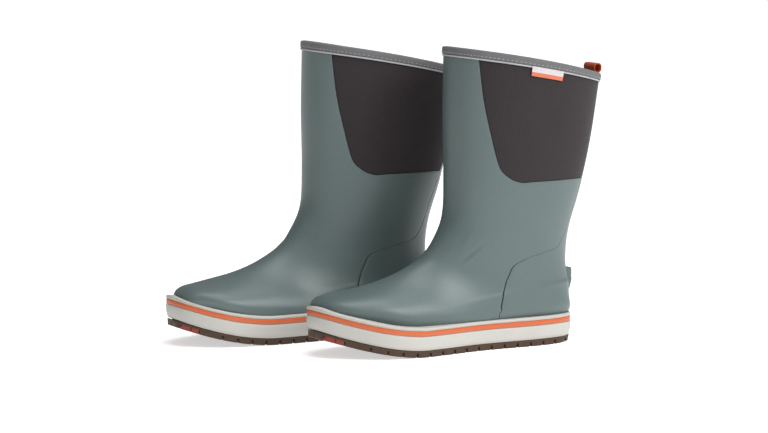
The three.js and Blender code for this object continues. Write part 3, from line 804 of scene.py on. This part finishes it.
def sole_band(tree, outer_side, floor_level, top_level, depth):
    """A band round the sole, from the skin (or a depth inside the edge) out to its shaped outer side."""
    line, normal, run = sole_line()
    rise = toe_spring(line[:, 1])

    def reach(level):
        found = []
        for (x, y), (nx, ny), lift in zip(line, normal, rise):
            start = Vector((x + nx * 15, y + ny * 15, level + lift))
            hit = tree.ray_cast(start, Vector((-nx, -ny, 0)), 45)
            found.append(max(-depth, 15 - hit[3] + 0.25) if hit[0] else -depth)
        return np.minimum(np.array(found), -0.9)

    middle_level = (top_level + floor_level) / 2
    inner = [(reach(level), level) for level in (top_level, middle_level, floor_level)]
    section = [(np.full(len(line), out), level) for out, level in outer_side] + inner
    section.append(section[0])
    places = [np.stack([line[:, 0] + normal[:, 0] * out, line[:, 1] + normal[:, 1] * out, level + rise], -1)
              for out, level in section]
    table = np.stack(places, 1)
    levels = np.array([level for _, level in section])
    marks = np.stack(np.broadcast_arrays(run[:, None], levels[None, :] - floor_level), -1)
    closing = marks[:1] + np.array([run[-1] + run[1], 0])
    return np.concatenate([table, table[:1]]), np.concatenate([marks, closing])


def make_sole_bands(side):
    """The pale wall, the bright stripe and the pale bead that run right round the sole."""
    tree = skin_tree()
    wall = [(-1.7, 7.35), (-1.1, 8.3), (-0.35, 10.3), (0.3, 13), (0.7, 16), (0.85, 18.8), (0.8, 20.6),
            (0.45, 21.9)]
    stripe = [(0.1, 22.1), (0.3, 22.5), (0.35, 24.8), (0.3, 27.1), (0.1, 27.5)]
    bead = [(0.15, 27.7), (0.5, 28.2), (0.65, 29.2), (0.45, 30.2), (-0.15, 30.9), (-0.8, 31.1)]
    for name, slot, node, section, low_level, high_level, depth in (
        ("sole_wall", "foxing", "foxing_wall", wall, 7.35, 21.9, 6),
        ("sole_stripe", "stripe", "foxing_stripe", stripe, 22.1, 27.5, 18),
        ("sole_bead", "foxing", "foxing_bead", bead, 27.7, 31.1, 18),
    ):
        bm = bmesh.new()
        closed_net(bm, *sole_band(tree, section, low_level, high_level, depth))
        finish_piece(bm, side, name, finish_for(slot), [node], edge=0.25, angle=55, smooth=60)


POCKET = (0.93, 0.982)  # where the toe plug sits, as shares of the length


def heel_lift(y):
    return 2.7 * np.maximum(0, 1 + y / (0.13 * LENGTH)) ** 2


def tread_block(bm, y0, y1, f0, f1, top=4.9, foot_in=3.0, top_in=2.0):
    """One block of the tread, between two places along the sole and two shares across it."""
    def shape(corner):
        a, b, c = ((corner + 1) / 2).T
        y = y0 + (y1 - y0) * b
        outer, inner = edge_at(y)
        inset = foot_in + (top_in - foot_in) * c
        centre, half = (outer + inner) / 2, np.maximum((outer - inner) / 2 - inset, 0.5)
        x = centre + half * (2 * (f0 + (f1 - f0) * a) - 1)
        draft_ = (1 - c) * 0.5 * (1 - 2 * b)
        y = y + np.sign(y1 - y0) * draft_
        z = c * top + (1 - c) * heel_lift(y) + toe_spring(y)
        return np.stack([x, y, z], -1)
    block(bm, 4, shape)


def make_outsole(side):
    """The outsole's plate, its cross-cut blocks and the bright plug under the toe."""
    sizes = bpy.context.scene.boot_sizes
    bm = bmesh.new()
    share = (1 - np.cos(np.linspace(0.03, math.pi - 0.03, 110))) / 2
    y = -1.0 - share * (LENGTH - 2.2)
    outer, inner = edge_at(y)
    middle, half = (outer + inner) / 2, (outer - inner) / 2
    across = np.linspace(-1, 1, 9)
    section = [*((u, 2.1, 4.7) for u in across), *((u, 1.6, 7.0) for u in across[::-1])]
    section.append(section[0])
    table = np.stack([np.stack([middle + np.maximum(half - inset, 0.3) * u, y, level + toe_spring(y)], -1)
                      for u, inset, level in section], 1)
    closed_net(bm, table)
    pitch, groove = sizes.tread_pitch * 1000, 2.1
    edges = [1.2, *np.arange(pitch, POCKET[0] * LENGTH - 10, pitch), POCKET[0] * LENGTH]
    columns = ((0, 0.235), (0.262, 0.487), (0.513, 0.738), (0.765, 1))
    for k, (start, end) in enumerate(zip(edges[:-1], edges[1:])):
        for f0, f1 in columns:
            tread_block(bm, -(start + (groove if k else 0)), -end, f0, f1)
    for f0, f1 in ((0, 0.485), (0.515, 1)):
        tread_block(bm, -(POCKET[1] * LENGTH + 0.6), -(LENGTH - 2.4), f0, f1, foot_in=2.6)
    finish_piece(bm, side, "outsole_and_tread", finish_for("outsole"), ["outsole"],
                 edge=0.45, angle=55, smooth=45)

    bm = bmesh.new()
    for k in range(2):
        y0 = POCKET[0] * LENGTH + 0.7 + k * 7.2
        tread_block(bm, -y0, -(y0 + 6.5), 0, 1, foot_in=2.7)
    finish_piece(bm, side, "toe_plug", finish_for("inlay"), ["toe_inlay"],
                 edge=0.4, angle=55, smooth=45)


def make_heel_ledge(side):
    """The ledge on the heel that the other foot pushes against."""
    tree = skin_tree()

    def shape(corner):
        a, b, c = corner.T
        x, out = 14 * a, (b + 1) / 2
        z = 53 + (c + 1) / 2 * (25 - 2.5 * out)
        stand = np.interp(z, (53, 56, 64, 71, 75, 78), (0.6, 3.0, 6.4, 8.0, 8.4, 8.4))
        stand = stand * (1 - 0.35 * np.abs(a) ** 5)
        hits = [tree.ray_cast(Vector((u, 40, w)), Vector((0, -1, 0)), 90) for u, w in zip(x, z)]
        back = np.array([hit[0].y for hit in hits])
        return np.stack([x, back - 1.3 + out * (stand + 1.3), z], -1)

    bm = bmesh.new()
    block(bm, 9, shape)
    bmesh.ops.recalc_face_normals(bm, faces=bm.faces)
    finish_piece(bm, side, "heel_ledge", finish_for("rubber"), ["kick_tab"],
                 edge=0.9, angle=50, smooth=45)


def make_footbed(side):
    """The loose insole, cupped a little at its rim."""
    bm = bmesh.new()
    share = (1 - np.cos(np.linspace(0.1, math.pi - 0.1, 90))) / 2
    outer, inner = edge_at(-share * LENGTH)
    y = -16 - share * (LENGTH - 32)
    middle, half = (outer + inner) / 2, (outer - inner) / 2 * (1 - 32 / 108)
    across = np.linspace(-1, 1, 21)
    section = [*((u * 0.985, 25.8) for u in across), *((u, 30.6 + 0.5 * abs(u) ** 4) for u in across[::-1])]
    section.append(section[0])
    table = np.stack([np.stack([middle + half * u, y, level + toe_spring(y)], -1) for u, level in section], 1)
    closed_net(bm, table)
    piece = finish_piece(bm, side, "insole", finish_for("footbed"), ["footbed"],
                         body="insole", edge=0.8, angle=50, smooth=50)


# ---- What a user can change ----
class BootSizes(bpy.types.PropertyGroup):
    rubber_wall: FloatProperty(name="Rubber wall", description="Thickness of the moulded rubber",
                               default=0.0022, min=0.001, unit="LENGTH")
    seam_gap: FloatProperty(name="Seam gap", description="Width of the groove between two pieces of rubber",
                            default=0.0006, min=0.0002, unit="LENGTH")
    rand_step: FloatProperty(name="Rand step", description="How far the rand round the heel stands out",
                             default=0.0005, min=0, unit="LENGTH")
    panel_step: FloatProperty(name="Panel step",
                              description="How far the stretch panels lie below the rubber",
                              default=0.0005, min=0, unit="LENGTH")
    tape_height: FloatProperty(name="Tape height", description="Height of the tape folded over the collar",
                               default=0.007, min=0.005, unit="LENGTH")
    loop_width: FloatProperty(name="Loop width", description="Width of the pull loop's webbing",
                              default=0.021, min=0.01, unit="LENGTH")
    tread_pitch: FloatProperty(name="Tread pitch", description="Length of one tread block and its groove",
                               default=0.016, min=0.008, unit="LENGTH")


def colour_choice(name, description, default):
    return FloatVectorProperty(name=name, description=description, default=default, min=0, max=1,
                               subtype="COLOR")


class BootColours(bpy.types.PropertyGroup):
    rubber: colour_choice("Rubber", "Moulded rubber of the upper", (0.088, 0.122, 0.119))
    gore: colour_choice("Stretch panels", "Knit face of the stretch panels", (0.026, 0.021, 0.0225))
    binding: colour_choice("Collar tape", "Tape folded over the collar", (0.125, 0.127, 0.13))
    welt: colour_choice("Collar cord", "Cord below the tape", (0.36, 0.36, 0.37))
    label: colour_choice("Label", "Pale part of the woven label", (0.5, 0.47, 0.48))
    webbing: colour_choice("Webbing", "Webbing of the pull loop", (0.42, 0.07, 0.016))
    lining: colour_choice("Lining", "Knit lining", (0.19, 0.195, 0.2))
    footbed: colour_choice("Footbed", "Cloth of the insole", (0.07, 0.075, 0.08))
    foxing: colour_choice("Sole wall", "Pale rubber of the sole's wall and bead", (0.44, 0.43, 0.4))
    stripe: colour_choice("Stripe", "Bright stripe round the sole", (0.52, 0.1, 0.026))
    outsole: colour_choice("Outsole", "Gum rubber of the tread", (0.052, 0.027, 0.013))
    inlay: colour_choice("Toe plug", "Bright rubber under the toe", (0.22, 0.035, 0.02))


# ---- Steps ----
class BOOTS_OT_uppers(bpy.types.Operator):
    """Moulds the rubber uppers of both boots"""
    bl_idname = "boots.uppers"
    bl_label = "Uppers"

    def execute(self, context):
        for side in SIDES:
            make_upper(side)
            make_heel_ledge(side)
        return {"FINISHED"}


class BOOTS_OT_panels(bpy.types.Operator):
    """Sets the stretch panels into both shafts"""
    bl_idname = "boots.panels"
    bl_label = "Stretch panels"

    def execute(self, context):
        for side in SIDES:
            make_stretch_panels(side)
        return {"FINISHED"}


class BOOTS_OT_insides(bpy.types.Operator):
    """Lines both boots and lays in their footbeds"""
    bl_idname = "boots.insides"
    bl_label = "Linings and footbeds"

    def execute(self, context):
        for side in SIDES:
            make_lining(side)
            make_footbed(side)
        return {"FINISHED"}


class BOOTS_OT_collars(bpy.types.Operator):
    """Binds both collars and adds their cord, label and pull loop"""
    bl_idname = "boots.collars"
    bl_label = "Collars"

    def execute(self, context):
        for side in SIDES:
            make_collar(side)
            make_pull_loop(side)
        return {"FINISHED"}


class BOOTS_OT_soles(bpy.types.Operator):
    """Builds both soles"""
    bl_idname = "boots.soles"
    bl_label = "Soles"

    def execute(self, context):
        for side in SIDES:
            make_sole_bands(side)
            make_outsole(side)
        return {"FINISHED"}


class BOOTS_OT_hidden_parts(bpy.types.Operator):
    """Gives the frame's own inner pieces their materials"""
    bl_idname = "boots.hidden_parts"
    bl_label = "Inner pieces"

    def execute(self, context):
        for name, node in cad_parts.items():
            kept = {"toe_puff": "reinforcement", "heel_stiffener": "reinforcement", "loop_tail": "webbing",
                    "insole_board": "board", "midsole": "foam"}
            key = kept.get(name.split("_", 1)[1])
            if key:
                node.data.materials.clear()
                node.data.materials.append(finish_for(key))
        return {"FINISHED"}


class BOOTS_OT_stage(bpy.types.Operator):
    """Lays the floor, hangs the lights and sets up the camera"""
    bl_idname = "boots.stage"
    bl_label = "Stage"

    def execute(self, context):
        scene = context.scene
        bm = bmesh.new()
        bmesh.ops.create_grid(bm, x_segments=1, y_segments=1, size=40)
        mesh = bpy.data.meshes.new("floor")
        bm.to_mesh(mesh)
        bm.free()
        floor = bpy.data.objects.new("floor", mesh)
        scene.collection.objects.link(floor)
        paint = Paint("pale floor", 0.9, 0.0, Emission_Color=(1, 1, 1, 1), Emission_Strength=0.55)
        mesh.materials.append(paint.done((0.86, 0.86, 0.86)))

        world = bpy.data.worlds.new("studio")
        world.use_nodes = True
        world.node_tree.nodes["Background"].inputs["Color"].default_value = (1, 1, 1, 1)
        world.node_tree.nodes["Background"].inputs["Strength"].default_value = 0.22
        scene.world = world
        scene.view_settings.view_transform = "Standard"

        aim = Vector((0.01548, -0.01012, 0.13331))
        bearing = math.radians(60.26)
        across = Vector((math.cos(bearing), math.sin(bearing), 0))
        towards = Vector((math.sin(bearing), -math.cos(bearing), 0))
        for name, side, ahead, up, size, power in (
            ("key light", 2.2, 1.5, 1.7, 1.4, 52),
            ("top light", 0.3, 0.3, 3.0, 2.4, 48),
        ):
            lamp = bpy.data.lights.new(name, "AREA")
            lamp.shape = "DISK"
            lamp.size = size
            lamp.energy = power
            holder = bpy.data.objects.new(name, lamp)
            holder.location = aim + across * side + towards * ahead + Vector((0, 0, up))
            holder.rotation_euler = (aim - holder.location).to_track_quat("-Z", "Y").to_euler()
            scene.collection.objects.link(holder)

        sun = bpy.data.lights.new("soft sun", "SUN")
        sun.energy = 1.3
        sun.angle = math.radians(80)
        holder = bpy.data.objects.new("soft sun", sun)
        sun_side = across * 0.9 + towards * 0.6 + Vector((0, 0, 1.3))
        holder.rotation_euler = (-sun_side).to_track_quat("-Z", "Y").to_euler()
        scene.collection.objects.link(holder)

        lens = bpy.data.cameras.new("camera")
        lens.lens = 180.25
        lens.clip_end = 100
        camera = bpy.data.objects.new("camera", lens)
        distance = 3.9925
        camera.location = (aim.x + towards.x * distance, aim.y + towards.y * distance, 0.593)
        camera.rotation_euler = (aim - camera.location).to_track_quat("-Z", "Y").to_euler()
        scene.collection.objects.link(camera)
        scene.camera = camera
        return {"FINISHED"}


STEPS = (BOOTS_OT_stage, BOOTS_OT_hidden_parts, BOOTS_OT_soles, BOOTS_OT_uppers, BOOTS_OT_panels,
         BOOTS_OT_insides, BOOTS_OT_collars)


class BOOTS_PT_panel(bpy.types.Panel):
    """Sizes, colours and steps of the boots"""
    bl_idname = "BOOTS_PT_panel"
    bl_label = "Deck boots"
    bl_space_type = "VIEW_3D"
    bl_region_type = "UI"
    bl_category = "Boots"

    def draw(self, context):
        for group in (context.scene.boot_sizes, context.scene.boot_colours):
            for key in group.__annotations__:
                self.layout.prop(group, key)
        for step in STEPS:
            self.layout.operator(step.bl_idname)


CLASSES = (BootSizes, BootColours, *STEPS, BOOTS_PT_panel)


def register():
    for item in CLASSES:
        bpy.utils.register_class(item)
    bpy.types.Scene.boot_sizes = PointerProperty(type=BootSizes)
    bpy.types.Scene.boot_colours = PointerProperty(type=BootColours)


def unregister():
    del bpy.types.Scene.boot_colours
    del bpy.types.Scene.boot_sizes
    for item in reversed(CLASSES):
        bpy.utils.unregister_class(item)


def main():
    register()
    for step in STEPS:
        group, name = step.bl_idname.split(".")
        getattr(getattr(bpy.ops, group), name)()


if __name__ == "__main__":
    main()
